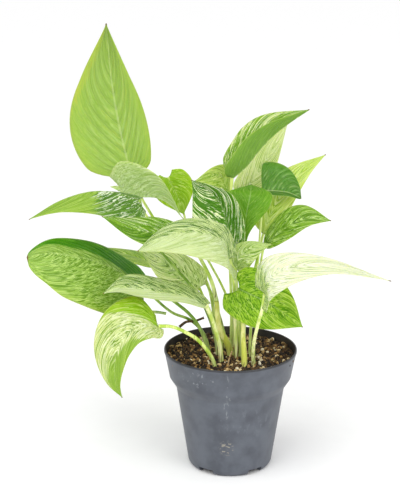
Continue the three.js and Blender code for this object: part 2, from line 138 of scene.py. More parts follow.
# Every leaf is drawn from one rule, and these are its own sizes.
# rib: the midrib from the petiole to the tip. face and face_tip: which way the upper side looks.
# left and right: [width, fold, curl] of each half. start, widest, taper, flare and lobe shape the outline.
# steady: how far the cross lines keep to one direction. stem: the petiole. vine: the vine that it grows from.
LEAVES = {
    "tall_left": {
        "rib": [[-91, 40, 163], [-100, 48, 201], [-106, 46, 242], [-109, 32, 293]], "face": [0.1, 1, 0.1],
        "left": [25, 10, 0], "right": [47, 5, 0], "start": 0.5, "lobe": 7,
        "stem": [
            [-12, 18], [-13, 18, 12], [-21, 25, 59], [-38, 30, 80], [-57, 34, 97], [-70, 36, 118],
            [-84, 38, 143],
        ],
        "radius": 1.7,
    },
    "arching_left": {
        "rib": [[-96, 16, 145], [-80, 10, 144], [-65, 5, 144], [-53, 2, 138], [-42, 0, 126]],
        "face": [0, 0, 1], "left": [8, 20, 0], "right": [36, 65, 0], "start": 0.6, "widest": 0.15,
        "taper": 1.8, "lobe": 14,
        "stem": [[-4, 14], [-5, 15, 12], [-21, 20, 59], [-40, 22, 80], [-60, 24, 100], [-82, 22, 132]],
        "radius": 1.5,
    },
    "bright_left": {
        "rib": [[-56, 24, 158], [-48, 22, 142], [-42, 16, 126]], "face": [0, -1, 0.4], "left": [18, 5, 0],
        "right": [18, 5, 0], "start": 0.5, "lobe": 5,
        "stem": [[2, 13], [0, 13, 40], [-24, 17, 90], [-38, 22, 112], [-47, 28, 142]], "radius": 1.3,
    },
    "long_left": {
        "rib": [[-80, -12, 146], [-100, -22, 155], [-121, -32, 158], [-146, -40, 152], [-172, -45, 137]],
        "face": [0, -0.7, 0.7], "face_tip": [0, 0, 1], "left": [26, -30, 0], "right": [13, -40, 0],
        "start": 0.6, "widest": 0.25, "lobe": 5,
        "stem": [
            [-11, 0], [-13, -1, 12], [-18, -4, 32], [-29, -8, 58], [-48, -8, 82], [-65, -8, 103],
            [-76, -10, 128],
        ],
        "radius": 1.6,
    },
    "middle_left": {
        "rib": [[-36, -30, 115], [-61, -46, 125], [-86, -56, 132], [-109, -62, 144]],
        "face": [0, -0.5, 1], "left": [22, 0, 0], "right": [22, 0, 0], "start": 0.5, "lobe": 5,
        "stem": [[-13, -15, 56], [-18, -19, 76]], "radius": 2, "vine": "left_vine",
    },
    "pale_middle": {
        "rib": [
            [-3, -34, 98], [-8, -46, 118], [-23, -58, 128], [-44, -66, 131], [-62, -72, 127], [-79, -76, 118],
        ],
        "face": [-0.3, -0.7, 0.7], "face_tip": [0, -0.4, 1], "left": [28, -5, -20], "right": [15, 20, 0],
        "start": 0.5, "taper": 0.9, "lobe": 10,
        "stem": [[5, -11], [4, -14, 28], [3, -18, 50], [2, -24, 75]], "radius": 2.2,
    },
    "dark_left": {
        "rib": [
            [-78, -8, 67], [-90, -20, 79], [-104, -34, 92], [-120, -46, 102], [-138, -60, 110],
            [-153, -68, 114], [-171, -74, 112],
        ],
        "face": [0, -0.6, 0.8], "left": [42, -30, 0], "right": [22, 0, 0], "start": 0.92, "widest": 0.42,
        "taper": 0.55, "lobe": 8,
        "stem": [[-17, 4], [-24, 2, 18], [-36, 0, 32], [-53, -4, 41], [-75, -5, 62]], "radius": 1.6,
    },
    "small_front_left": {
        "rib": [
            [-22, -40, 59], [-40, -52, 71], [-59, -60, 77], [-78, -68, 83], [-93, -74, 86], [-108, -78, 82],
        ],
        "face": [0, -0.6, 0.8], "left": [7, -50, 0], "right": [16, 0, 0], "start": 0.3, "widest": 0.55,
        "taper": 1.1, "lobe": 5, "stem": [[-8, -20], [-10, -22, 15], [-16, -30, 40]], "radius": 2.4,
    },
    "low_left": {
        "rib": [
            [-63, -60, 47], [-76, -70, 51], [-88, -78, 47], [-96, -84, 35], [-99, -88, 20], [-98, -90, 6],
            [-93, -90, -6],
        ],
        "face": [0, -1, 0.4], "face_tip": [0, -1, 0.2], "left": [14, 0, 0], "right": [28, 0, 0],
        "start": 0.5, "widest": 0.15, "lobe": 3, "steady": 0.4,
        "stem": [[-12, -32], [-17, -36, 9], [-28, -42, 27], [-38, -50, 37], [-52, -58, 46]], "radius": 2,
    },
    "back_left": {
        "rib": [[-66, 45, 70], [-88, 60, 74], [-114, 72, 77], [-136, 80, 77]], "face": [0, 0.1, 1],
        "left": [22, 10, -20], "right": [22, 10, -20], "start": 0.4, "lobe": 4,
        "stem": [[-15, -8], [-28, -11, 29], [-38, -12, 43], [-46, -12, 50], [-57, -2, 56], [-63, 18, 60]],
        "radius": 1.8,
    },
    "inner_left": {
        "rib": [[-28, 4, 61], [-53, 12, 77], [-81, 18, 92]], "face": [0, -1, 0.5], "left": [18, 0, 0],
        "right": [18, 0, 0], "start": 0.5, "lobe": 3, "stem": [[-6, 5], [-10, 6, 20], [-20, 6, 42]],
        "radius": 1.5,
    },
    "striped_middle": {
        "rib": [[2, -4, 98], [-3, -2, 121], [-10, 0, 141], [-21, 3, 151], [-35, 5, 160]],
        "face": [-0.2, -1, 0.3], "left": [32, 5, 0], "right": [18, 30, 0], "start": 0.4, "lobe": 3,
        "stem": [[8, -7], [7, -6, 20], [4, -4, 60]], "radius": 1.6,
    },
    "plain_middle": {
        "rib": [[11, 0, 101], [12, 0, 118], [14, 3, 133], [17, 9, 146], [18, 22, 152]],
        "face": [0, -1, 0.2], "face_tip": [0, 0, 1], "left": [22, 0, 0], "right": [20, 0, 0],
        "start": 0.12, "widest": 0.72, "flare": 2.5, "lobe": 0, "steady": 0,
        "stem": [[8, -1], [9, 0, 30], [10, 1, 70]], "radius": 1.6,
    },
    "rounded_right": {
        "rib": [[28, 20, 147], [39, 26, 145], [52, 32, 142], [64, 36, 136]], "face": [0, -0.8, 0.6],
        "left": [29, 0, 0], "right": [4, 0, 0], "start": 0.75, "taper": 0.4, "lobe": 0,
        "stem": [[17, 2], [19, 4, 30], [25, 12, 90], [27, 16, 124]], "radius": 1.4,
    },
    "near_white_right": {
        "rib": [[27, -62, 76], [29, -70, 93], [47, -76, 104], [79, -84, 108], [129, -92, 97]],
        "face": [0, -1, 0.3], "face_tip": [0, -0.3, 1], "left": [16, 0, 0], "right": [20, 0, 0],
        "start": 0.8, "lobe": 6, "stem": [[20, -27], [19, -36, 20], [22, -50, 45], [25, -58, 61]],
        "radius": 2.2,
    },
    "tall_right": {
        "rib": [[1, 22, 158], [13, 20, 169], [25, 18, 185], [38, 15, 199], [52, 10, 211], [67, 6, 222]],
        "face": [-0.8, 0, 0.6], "left": [26, 60, 0], "right": [20, 60, 0], "start": 0.4, "widest": 0.35,
        "lobe": 2, "stem": [[1, 7], [1, 9, 40], [-1, 18, 110]], "radius": 1.8,
    },
    "yellow_middle": {
        "rib": [[-2, 36, 136], [-6, 34, 155], [-17, 31, 159], [-32, 28, 154]], "face": [0, -0.9, 0.4],
        "left": [18, 0, 0], "right": [12, 0, 0], "start": 0.3, "lobe": 0,
        "stem": [[4, 19], [4, 22, 40], [0, 32, 105]], "radius": 1.6,
    },
    "pale_back": {
        "rib": [[9, 60, 132], [24, 66, 150], [38, 70, 173], [53, 72, 198]], "face": [0, -1, 0.4],
        "left": [14, 0, 0], "right": [14, 0, 0], "start": 0.4, "lobe": 0,
        "stem": [[11, 18], [11, 24, 40], [10, 48, 100]], "radius": 1.6,
    },
    "pointed_right": {
        "rib": [[30, 28, 105], [38, 40, 123], [51, 54, 140], [68, 66, 155], [89, 76, 168]],
        "face": [0, -0.8, 0.6], "left": [20, 0, 0], "right": [14, 0, 0], "start": 0.2, "lobe": 0,
        "stem": [[12, 10], [14, 14, 30], [23, 24, 76]], "radius": 1.6,
    },
    "bright_right": {
        "rib": [[29, 4, 101], [47, -6, 119], [66, -12, 130], [86, -18, 129]], "face": [0, -0.7, 0.7],
        "left": [17, 0, 0], "right": [12, 0, 0], "start": 0.15, "widest": 0.4, "lobe": 0,
        "stem": [[17, -6], [18, -8, 30], [24, -2, 70]], "radius": 1.5,
    },
    "small_grey": {
        "rib": [[4, -14, 85], [8, -15, 98], [19, -16, 105], [35, -18, 108]], "face": [0, -0.9, 0.5],
        "left": [9, 0, 0], "right": [14, 0, 0], "start": 0.6, "lobe": 0,
        "stem": [[10, -12], [10, -12, 30], [6, -12, 60]], "radius": 1.3,
    },
    "heart_right": {
        "rib": [[6, -30, 71], [26, -36, 63], [45, -42, 53], [61, -48, 42]], "face": [0, -1, 0.3],
        "left": [24, 0, 0], "right": [26, 0, 0], "start": 0.6, "lobe": 9,
        "stem": [[11, -21, 39], [9, -25, 56]], "radius": 1.8, "vine": "right_vine",
    },
}

# The thick vines, each ending where one petiole goes on
VINES = {
    "left_vine": {"stem": [[2, -2], [-2, -6, 10], [-10, -11, 28], [-13, -15, 55]], "radius": 4},
    "right_vine": {"stem": [[12, -30], [12, -28, 10], [11, -24, 24], [11, -21, 38]], "radius": 4},
}

# Thin roots, and the cut end of a runner
ROOTS = {
    "anchor_root": {"stem": [[-3, -33], [-2, -31, 6], [1, -26, 12]], "radius": 0.8},
    "dry_root": {"stem": [[-46, -7, 28], [-40, -5, 32], [-32, -5, 33], [-24, -5, 36]], "radius": 1.4},
    "runner_end": {"stem": [[-78, -14, 44], [-66, -10, 43], [-58, -8, 41]], "radius": 1.7},
}

# Each leaf's marbling: layers of a look, each after the first painted where
# a * across + b * along > c, with across from -1 (left edge) to 1 and along from 0 (petiole) to 1 (tip).
RIGHT_HALF = (1, 0, 0)
LEFT_HALF = (-1, 0, 0)
MARBLING = {
    "tall_left": [("underside", None), ("sunned", (1, 1, 1.45))],
    "arching_left": [("misty", None)],
    "bright_left": [("bright", None)],
    "long_left": [("streaked", None), ("fresh", (0.1, 1, 0.42))],
    "middle_left": [("mottled", None), ("dark_mottled", LEFT_HALF)],
    "pale_middle": [("pale_smooth", None), ("cream_stippled", RIGHT_HALF)],
    "dark_left": [("fine_marbled", None), ("dark_gloss", (1, -0.8, 0))],
    "small_front_left": [("pale_smooth", None), ("cream_stippled", RIGHT_HALF)],
    "low_left": [("cream", None), ("bright", (1, -3, -0.1)), ("fresh", (-0.35, 1, 0.55))],
    "back_left": [("yellow_green", None)],
    "inner_left": [("grey_marbled", None)],
    "striped_middle": [("striped", None)],
    "plain_middle": [("plain", None)],
    "rounded_right": [("deep", None)],
    "near_white_right": [("near_white", None), ("stippled", (0, -1, -0.2))],
    "tall_right": [("plain", None), ("cream_streaked", LEFT_HALF)],
    "yellow_middle": [("yellow_stippled", None)],
    "pale_back": [("pale_yellow", None)],
    "pointed_right": [("yellow_streaked", None)],
    "bright_right": [("bright_mottled", None)],
    "small_grey": [("misty_stippled", None)],
    "heart_right": [("heart", None)],
}

# Looks whose marks are short speckles, where the others' are long streaks
SPECKLED = {
    "fine_marbled", "stippled", "cream_stippled", "grey_marbled", "bright_mottled", "misty_stippled",
    "yellow_stippled", "heart", "near_white", "cream", "misty",
}

# How fine patches, streaks and flecks are, along the veins and across them
SPECKLE_SCALES = [(1.8, 1.5, 1), (4.2, 2.6, 1), (6.5, 4.0, 1)]
STREAK_SCALES = [(1.6, 0.8, 1), (3.8, 1.0, 1), (6.0, 1.8, 1)]

# Looks of one even green, with raised cells between clear pale veins, and painted highlights on those cells
PLAIN_LOOKS = ("underside", "deep")

# Leaves with brown specks near the edge
BROWN_SPECKED = ("low_left", "near_white_right")

# A look: ground colour, then (colour, share of the blade) for broad patches, for streaks along the
# veins and for flecks
LOOKS = {
    "underside": [(150, 186, 70), (170, 195, 76, 0.35), (140, 178, 58, 0.3), (160, 194, 84, 0.2)],
    "sunned": [(170, 196, 70), (182, 197, 66, 0.4), (162, 192, 70, 0.3), (186, 190, 72, 0.15)],
    "misty": [(194, 219, 146), (168, 198, 112, 0.4), (222, 240, 184, 0.3), (150, 182, 88, 0.14)],
    "bright": [(148, 190, 34), (130, 178, 18, 0.4), (166, 204, 60, 0.2), (188, 214, 104, 0.1)],
    "streaked": [(92, 138, 45), (120, 162, 70, 0.4), (236, 246, 216, 0.3), (72, 118, 28, 0.2)],
    "fresh": [(140, 176, 60), (120, 160, 42, 0.4), (152, 184, 76, 0.3), (176, 202, 100, 0.1)],
    "mottled": [(140, 186, 46), (104, 154, 16, 0.45), (228, 244, 184, 0.34), (80, 132, 4, 0.24)],
    "dark_mottled": [(116, 166, 26), (84, 136, 4, 0.5), (196, 224, 130, 0.18), (66, 118, 0, 0.28)],
    "pale_smooth": [(206, 223, 160), (190, 210, 138, 0.4), (220, 235, 182, 0.3), (168, 192, 112, 0.1)],
    "stippled": [(204, 226, 140), (230, 246, 182, 0.4), (96, 142, 44, 0.3), (70, 118, 34, 0.2)],
    "fine_marbled": [(158, 192, 88), (122, 162, 56, 0.4), (190, 218, 124, 0.36), (104, 146, 40, 0.3)],
    "dark_gloss": [(56, 126, 2), (36, 106, 0, 0.4), (84, 150, 24, 0.25), (112, 170, 52, 0.1)],
    "cream_stippled": [(218, 236, 168), (198, 220, 136, 0.35), (106, 146, 46, 0.36), (62, 108, 22, 0.25)],
    "cream": [(212, 224, 154), (192, 208, 124, 0.4), (236, 244, 196, 0.35), (126, 160, 56, 0.22)],
    "yellow_green": [(156, 190, 60), (208, 228, 122, 0.4), (120, 162, 32, 0.25), (96, 142, 14, 0.15)],
    "grey_marbled": [(196, 220, 136), (226, 240, 172, 0.4), (108, 148, 46, 0.32), (236, 248, 190, 0.2)],
    "striped": [(78, 134, 30), (100, 152, 44, 0.3), (240, 252, 202, 0.42), (60, 114, 14, 0.2)],
    "plain": [(98, 152, 28), (86, 142, 12, 0.4), (114, 162, 44, 0.25), (130, 172, 62, 0.08)],
    "deep": [(88, 144, 46), (78, 136, 36, 0.4), (100, 154, 64, 0.25), (70, 128, 28, 0.1)],
    "near_white": [(240, 246, 212), (230, 238, 190, 0.4), (250, 252, 236, 0.3), (150, 172, 110, 0.09)],
    "cream_streaked": [(128, 172, 50), (104, 154, 30, 0.35), (234, 248, 180, 0.46), (84, 138, 14, 0.18)],
    "yellow_stippled": [(198, 222, 116), (232, 246, 162, 0.35), (170, 202, 76, 0.3), (130, 170, 42, 0.28)],
    "pale_yellow": [(222, 236, 166), (240, 248, 194, 0.4), (182, 208, 110, 0.25), (140, 178, 70, 0.14)],
    "yellow_streaked": [(206, 228, 118), (230, 246, 164, 0.35), (176, 208, 66, 0.3), (140, 182, 40, 0.15)],
    "bright_mottled": [(130, 172, 50), (86, 134, 12, 0.42), (198, 226, 136, 0.28), (66, 114, 2, 0.22)],
    "misty_stippled": [(190, 214, 128), (232, 246, 188, 0.35), (156, 188, 88, 0.3), (120, 158, 52, 0.28)],
    "heart": [(150, 194, 42), (188, 218, 96, 0.35), (100, 154, 8, 0.28), (80, 138, 0, 0.25)],
}


# ---------------------------------------------------------------- curves and blades


class Spline:
    """A smooth line through points, the same as the one that the CAD leaves and stems follow."""

    def __init__(self, points):
        self.points = points

    def at(self, share):
        points = self.points
        last = len(points) - 1
        place = share * last
        index = min(int(place), last - 1)
        weight = place - index
        one, two = points[index], points[index + 1]
        before = points[index - 1] if index > 0 else one * 2 - two
        after = points[index + 2] if index + 2 <= last else two * 2 - one
        steps = [math.sqrt(max((b - a).length, 1e-9)) for a, b in ((before, one), (one, two), (two, after))]
        lead, span, trail = steps
        leaving = (one - before) / lead - (two - before) / (lead + span) + (two - one) / span
        arriving = (two - one) / span - (after - one) / (span + trail) + (after - two) / trail
        leaving, arriving = leaving * span, arriving * span
        square = (two - one) * 3 - leaving * 2 - arriving
        cube = (one - two) * 2 + leaving + arriving
        return one + leaving * weight + square * weight**2 + cube * weight**3

    def direction(self, share, nudge=1e-4):
        ahead = self.at(min(share + nudge, 1))
        behind = self.at(max(share - nudge, 0))
        return (ahead - behind).normalized()

    def length(self, steps=60):
        places = [self.at(step / steps) for step in range(steps + 1)]
        return sum((b - a).length for a, b in zip(places, places[1:]))


def in_plant(point):
    """A point given in millimetres from the middle of the soil, in metres from the origin."""
    x, y, z = (*point, 0)[:3]
    return Vector((x, y, z)) * MM + Vector((0, 0, SOIL_TOP))


class Blade:
    """One leaf's surface: along runs from 0 at the petiole to 1 at the tip, across from -1 to 1."""

    def __init__(self, name, sizes):
        self.sizes = sizes
        self.rib = Spline([in_plant(point) for point in sizes["rib"]])
        self.chord = (self.rib.at(1) - self.rib.at(0)).normalized()
        self.face = Vector(sizes["face"])
        self.face_tip = Vector(sizes.get("face_tip", sizes["face"]))
        self.length = self.rib.length()
        self.phase = sum(map(ord, name)) % 17
        self.rows = {}

    def outline(self, along):
        widest = self.sizes.get("widest", USUAL_WIDEST)
        start = self.sizes["start"]
        if along < widest:
            flare = self.sizes.get("flare", USUAL_FLARE)
            return start + (1 - start) * (1 - (1 - along / widest) ** 2) ** flare
        taper = self.sizes.get("taper", USUAL_TAPER)
        return max(math.cos((math.pi / 2) * (along - widest) / (1 - widest)), 0) ** taper

    def row(self, along):
        """What all points of one cross line share: middle, forward, upward, sideways and outline"""
        if along not in self.rows:
            tangent = self.rib.direction(along)
            forward = tangent.lerp(self.chord, self.sizes.get("steady", STEADINESS)).normalized()
            upward = self.face.lerp(self.face_tip, along)
            upward = (upward - forward * upward.dot(forward)).normalized()
            sideways = forward.cross(upward)
            self.rows[along] = (self.rib.at(along), forward, upward, sideways, self.outline(along))
        return self.rows[along]

    def half_width(self, along, across):
        width = self.sizes["left" if across < 0 else "right"][0]
        corner = 1 - CORNER_CUT * max(1 - along / CORNER_LENGTH, 0) ** 2
        return max(width * self.row(along)[4] * corner, TIP_HALF_WIDTH) * MM

    def at(self, along, across):
        middle, forward, upward, sideways, _ = self.row(along)
        _, fold, curl = self.sizes["left" if across < 0 else "right"]
        reach = abs(across)
        half = self.half_width(along, across)
        slope = math.radians(fold + curl * reach / 2)
        back = self.sizes["lobe"] * MM * reach**LOBE_SWEEP * (1 - along) ** LOBE_FADE
        side = math.copysign(1, across)
        point = middle + sideways * (side * reach * half * math.cos(slope))
        return point + upward * (reach * half * math.sin(slope)) - forward * back


def stem_points(sizes, in_soil):
    """A stem's line; one that stands in the soil starts below its surface"""
    points = [in_plant(point) for point in sizes["stem"]]
    if in_soil:
        points[0] = points[0] - Vector((0, 0, ROOT_DEPTH))
    return points


# ---------------------------------------------------------------- materials


def paint(red, green, blue):
    """A colour written as on a screen, 0 to 255, in Blender's linear light"""

    def linear(value):
        value /= 255
        return value / 12.92 if value <= 0.04045 else ((value + 0.055) / 1.055) ** 2.4

    return (linear(red), linear(green), linear(blue), 1)


def leaf_paint(red, green, blue):
    """A leaf's colour, as it looks in full light, taken down to the blade's own tone"""
    return (*(value * LEAF_TONE for value in paint(red, green, blue)[:3]), 1)


class Nodes:
    """A node tree and a short way to write its nodes"""

    def __init__(self, tree):
        self.tree = tree

    def feed(self, socket, value):
        if isinstance(value, bpy.types.NodeSocket):
            self.tree.links.new(value, socket)
        else:
            socket.default_value = value

    def node(self, kind, inputs=(), **settings):
        made = self.tree.nodes.new(kind)
        for key, value in settings.items():
            setattr(made, key, value)
        for key, value in dict(inputs).items():
            self.feed(made.inputs[key], value)
        return made

    def math(self, operation, *values):
        return self.node("ShaderNodeMath", dict(enumerate(values)), operation=operation).outputs[0]

    def plus(self, first, second):
        return self.math("ADD", first, second)

    def minus(self, first, second):
        return self.math("SUBTRACT", first, second)

    def times(self, first, second):
        return self.math("MULTIPLY", first, second)


class Finish(Nodes):
    """A material with its shader nodes"""

    def __init__(self, name):
        self.material = bpy.data.materials.new(name)
        self.material.use_nodes = True
        super().__init__(self.material.node_tree)
        self.surface = self.tree.nodes["Principled BSDF"]

    def set(self, **values):
        for key, value in values.items():
            self.feed(self.surface.inputs[key.replace("_", " ").title().replace("Ior", "IOR")], value)

    def scaled(self, place, scale, shift=(0, 0, 0)):
        settings = {"Vector": place, "Scale": scale, "Location": shift}
        return self.node("ShaderNodeMapping", settings).outputs[0]

    def mix(self, share, first, second):
        made = self.node("ShaderNodeMix", {0: share, 6: first, 7: second}, data_type="RGBA")
        return made.outputs[2]

    def step(self, value, low, high):
        settings = {"Value": value, "From Min": low, "From Max": high}
        return self.node("ShaderNodeMapRange", settings, interpolation_type="SMOOTHSTEP").outputs[0]

    def noise(self, place, scale, detail=4.0, roughness=0.55):
        settings = {"Vector": place, "Scale": scale, "Detail": detail, "Roughness": roughness}
        return self.node("ShaderNodeTexNoise", settings).outputs[0]

    def attribute(self, name):
        return self.node("ShaderNodeAttribute", attribute_name=name)

    def axes(self, vector):
        return self.node("ShaderNodeSeparateXYZ", {0: vector}).outputs

    def place(self):
        return self.node("ShaderNodeTexCoord").outputs["Object"]

    def bump(self, height, strength, distance):
        settings = {"Height": height, "Strength": strength, "Distance": distance}
        self.set(normal=self.node("ShaderNodeBump", settings).outputs[0])


def share_step(finish, value, share, softness):
    """1 over about that share of a noise's range"""
    middle = 0.5 + 0.3 * (0.5 - share)
    return finish.step(value, middle - softness, middle + softness)


def marble(finish, veins, look, seed):
    """The colour of one look: its ground, broad patches, streaks along the veins and flecks"""
    ground, *marks = LOOKS[look]
    scales = SPECKLE_SCALES if look in SPECKLED else STREAK_SCALES
    kinds = zip(marks, scales, (3.0, 1.5, 1.5), (0.02, 0.012, 0.012))
    colour = leaf_paint(*ground)
    ragged = finish.minus(finish.noise(finish.scaled(veins, (8, 4.2, 1)), 1.0, 2.0, 0.6), 0.5)
    ragged = finish.times(ragged, 0.85)
    for turn, ((red, green, blue, share), scale, detail, softness) in enumerate(kinds):
        shift = (seed * 3.1 + turn * 7.7, seed * 1.7 + turn * 2.3, seed)
        pattern = finish.noise(finish.scaled(veins, scale, shift), 1.0, detail, 0.6)
        pattern = finish.plus(pattern, ragged)
        covered = share_step(finish, pattern, share, softness)
        colour = finish.mix(covered, colour, leaf_paint(red, green, blue))
    return colour


def leaf_finish(name, layers, seed):
    """A leaf's marbling, with paler veins, edge and underside, a brown point at the tip, and on plain leaves
    painted highlights on the swells between veins
    """
    finish = Finish(f"leaf {name.replace('_', ' ')}")
    plain = layers[0][0] in PLAIN_LOOKS
    blade = finish.attribute("blade").outputs["Vector"]
    veins = finish.attribute("veins").outputs["Vector"]
    across, along, side = finish.axes(blade)
    jitter = finish.noise(finish.scaled(veins, (2.5, 0.8, 1)), 1.0, 4.0)
    jitter = finish.times(finish.minus(jitter, 0.5), 0.5)
    colour = None
    for look, edge in layers:
        painted = marble(finish, veins, look, seed)
        if edge is None:
            colour = painted
            continue
        tilt_across, tilt_along, offset = edge
        reach = finish.plus(finish.times(across, tilt_across), jitter)
        reach = finish.plus(reach, finish.times(along, tilt_along))
        colour = finish.mix(finish.step(reach, offset - 0.04, offset + 0.04), colour, painted)
    # Side veins and the midrib show a little paler, and the edge and the underside too.
    vein_wave = finish.math("PINGPONG", finish.axes(veins)[2], 0.5)
    vein = finish.minus(1.0, finish.step(vein_wave, 0.0, 0.09))
    reach = finish.math("ABSOLUTE", across)
    fade = finish.minus(1.0, finish.step(reach, 0.55, 0.95))
    vein = finish.times(vein, fade)
    midrib = finish.minus(1.0, finish.step(reach, 0.012, 0.04))
    pale = finish.mix(0.55, colour, leaf_paint(214, 230, 160))
    colour = finish.mix(finish.times(vein, 0.3 if plain else 0.06), colour, pale)
    colour = finish.mix(finish.times(midrib, 0.85 if plain else 0.35), colour, pale)
    rim = finish.step(reach, 0.965, 0.995)
    colour = finish.mix(finish.times(rim, 0.35), colour, leaf_paint(206, 222, 140))
    colour = finish.mix(finish.times(side, 0.25), colour, leaf_paint(168, 196, 110))
    colour = finish.mix(finish.step(along, 0.985, 0.995), colour, paint(106, 74, 36))
    swell = finish.times(finish.step(vein_wave, 0.0, 0.5), fade)
    # Painted highlight: on plain looks, patches of the swells between side veins are painted paler, for light
    # catching the raised cells
    if plain:
        highlight_noise = finish.noise(finish.scaled(veins, (2.6, 1.6, 1), (seed, 4, 1)), 1.0, 3.0, 0.6)
        light = finish.times(finish.step(highlight_noise, 0.42, 0.68), swell)
        colour = finish.mix(finish.times(light, 0.3), colour, leaf_paint(216, 238, 160))
    if name in BROWN_SPECKED:
        speck = finish.noise(finish.scaled(veins, (5, 3.5, 1), (seed, 2, 5)), 1.0, 2.0)
        speck = finish.times(finish.step(speck, 0.64, 0.67), finish.step(reach, 0.6, 0.95))
        colour = finish.mix(finish.times(speck, 0.8), colour, paint(112, 92, 34))
    finish.set(base_color=colour)
    finish.set(roughness=finish.plus(finish.times(side, 0.15), 0.4))
    finish.set(subsurface_weight=0.35, subsurface_radius=(0.8, 1.0, 0.12), subsurface_scale=0.0025)
    finish.set(specular_ior_level=0.14)
    grain = finish.noise(finish.scaled(veins, (14, 9, 1)), 1.0, 3.0)
    height = finish.plus(finish.times(vein, -0.5), finish.times(grain, 0.35))
    height = finish.plus(height, swell)
    finish.bump(height, 0.7 if plain else 0.3, 0.0012)
    return finish.material


def stem_finish(name, green, cream, brown_share):
    """A stem's two greens in streaks, paler at the foot, with brown lines there"""
    finish = Finish(name)
    along = finish.attribute("along").outputs["Fac"]
    around = finish.attribute("around").outputs["Vector"]
    place = finish.place()
    streaks = finish.noise(finish.scaled(place, (620, 620, 45)), 1.0, 4.0, 0.6)
    broad = finish.noise(finish.scaled(place, (160, 160, 25)), 1.0, 3.0)
    colour = finish.mix(share_step(finish, broad, 0.5, 0.06), paint(*green), paint(*cream))
    greener = finish.mix(0.5, paint(*green), colour)
    colour = finish.mix(share_step(finish, streaks, 0.4, 0.04), colour, greener)
    foot = finish.minus(1.0, finish.step(along, 0.04, 0.4))
    colour = finish.mix(finish.times(foot, 0.45), colour, paint(222, 226, 172))
    lines = finish.noise(finish.scaled(place, (620, 620, 24), (3, 1, 2)), 1.0, 2.0)
    brown = finish.times(share_step(finish, lines, brown_share, 0.02), foot)
    colour = finish.mix(brown, colour, paint(92, 70, 26))
    groove = finish.step(finish.axes(around)[0], 0.6, 1.0)
    colour = finish.mix(finish.times(groove, 0.25), colour, paint(232, 238, 190))
    finish.set(base_color=colour, roughness=0.38, subsurface_weight=0.1)
    finish.set(subsurface_radius=(0.6, 1.0, 0.25), subsurface_scale=0.003)
    finish.bump(streaks, 0.25, 0.0005)
    return finish.material


def root_finish(name, dark, light):
    """A root's rough fibres"""
    finish = Finish(name)
    place = finish.place()
    fibre = finish.noise(finish.scaled(place, (900, 900, 200)), 1.0, 5.0, 0.65)
    colour = finish.mix(finish.step(fibre, 0.35, 0.65), paint(*dark), paint(*light))
    finish.set(base_color=colour, roughness=0.85)
    finish.bump(fibre, 0.7, 0.0008)
    return finish.material


def pot_finish(name, dark):
    """Slate grey plastic with mottling, scuffs, a dried water streak and a smear of dirt, with painted shade
    on the rim's top, and inside brown-black with painted shade
    """
    finish = Finish(name)
    place = finish.place()
    x, y, z = finish.axes(place)
    mottle = finish.noise(place, 55.0, 5.0)
    fine = finish.noise(place, 900.0, 3.0)
    if dark:
        # Painted shade: the inside of the pot is painted brown-black, tinted brown like soil
        colour = finish.mix(finish.step(mottle, 0.35, 0.7), paint(18, 16, 14), paint(52, 45, 36))
    else:
        colour = finish.mix(finish.step(mottle, 0.3, 0.7), paint(69, 73, 82), paint(89, 94, 103))
        scratch = finish.noise(finish.scaled(place, (260, 260, 900), (1, 2, 0)), 1.0, 6.0, 0.6)
        colour = finish.mix(finish.step(scratch, 0.7, 0.78), colour, paint(126, 131, 137))
        # Marks on the front: place, half size, colour, share covered, and how fine the specks are
        marks = [
            ((-0.030, 0.098), (0.020, 0.011), (128, 133, 140), 0.12, (300, 300, 220)),
            ((-0.004, 0.078), (0.004, 0.034), (122, 127, 132), 0.2, (420, 420, 90)),
            ((-0.004, 0.030), (0.008, 0.009), (150, 144, 130), 0.3, (300, 300, 620)),
            ((0.012, 0.052), (0.030, 0.020), (94, 99, 108), 0.2, (200, 200, 110)),
        ]
        front = finish.step(y, 0.0, -0.01)
        for (mark_x, mark_z), (wide, high), tint, share, scale in marks:
            off_x = finish.math("DIVIDE", finish.minus(x, mark_x), wide)
            off_z = finish.math("DIVIDE", finish.minus(z, mark_z), high)
            off = finish.plus(finish.math("POWER", off_x, 2.0), finish.math("POWER", off_z, 2.0))
            near = finish.minus(1.0, finish.step(off, 0.1, 1.0))
            speck = finish.noise(finish.scaled(place, scale, (mark_x, 0, mark_z)), 1.0, 5.0, 0.65)
            speck = finish.times(share_step(finish, speck, share, 0.03), near)
            colour = finish.mix(finish.times(speck, front), colour, paint(*tint))
        # Painted shade: the top of the rim's outer lip is painted near black, as a dark line along the rim
        rim_shade = finish.step(z, POT_HEIGHT - 2.2 * MM, POT_HEIGHT - 1.2 * MM)
        colour = finish.mix(finish.times(rim_shade, 0.85), colour, paint(34, 34, 36))
    finish.set(base_color=colour, roughness=finish.plus(finish.times(mottle, 0.2), 0.36))
    finish.bump(finish.plus(mottle, finish.times(fine, 0.4)), 0.12, 0.0006)
    return finish.material


